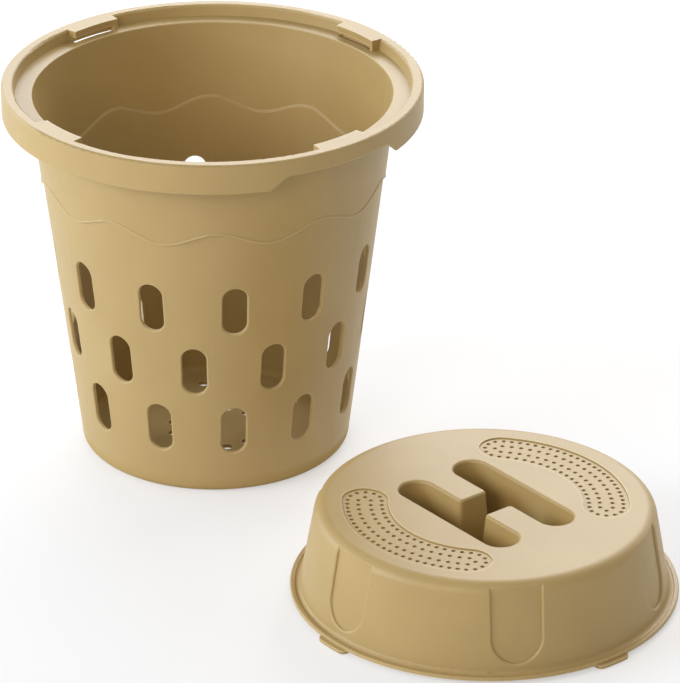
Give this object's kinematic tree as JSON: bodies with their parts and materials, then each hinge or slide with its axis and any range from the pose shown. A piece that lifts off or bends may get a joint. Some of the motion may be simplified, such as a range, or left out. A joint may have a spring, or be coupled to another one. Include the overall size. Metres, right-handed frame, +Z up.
{
  "type": "in-ground compost bin",
  "caption": "Tapered slotted tub for burying in soil, with a rolled rim, catch tabs and finger cut-outs, and a domed twist-lock lid with an H-shaped grip recess and vents.",
  "frame": {"origin": "on the tub's axis, at the underside of its base", "axes": "+Z up along the tub's axis; +X through a finger cut-out in the rim and through the lid's axis"},
  "size_m": [0.5699, 0.29, 0.2705],
  "materials": {
    "bin_plastic": "satin",
    "lid_plastic": "satin",
    "vent_plastic": "satin"
  },
  "bodies": {
    "bin": {"bin": "bin_plastic"},
    "lid": {"lid": "lid_plastic", "vent_plate_left": "vent_plastic", "vent_plate_right": "vent_plastic"}
  },
  "joints": [
    {"name": "lid_lift", "type": "slide", "parent": "bin", "child": "lid", "axis": [0, 0, 1], "range_m": [0, 0.3]}
  ]
}
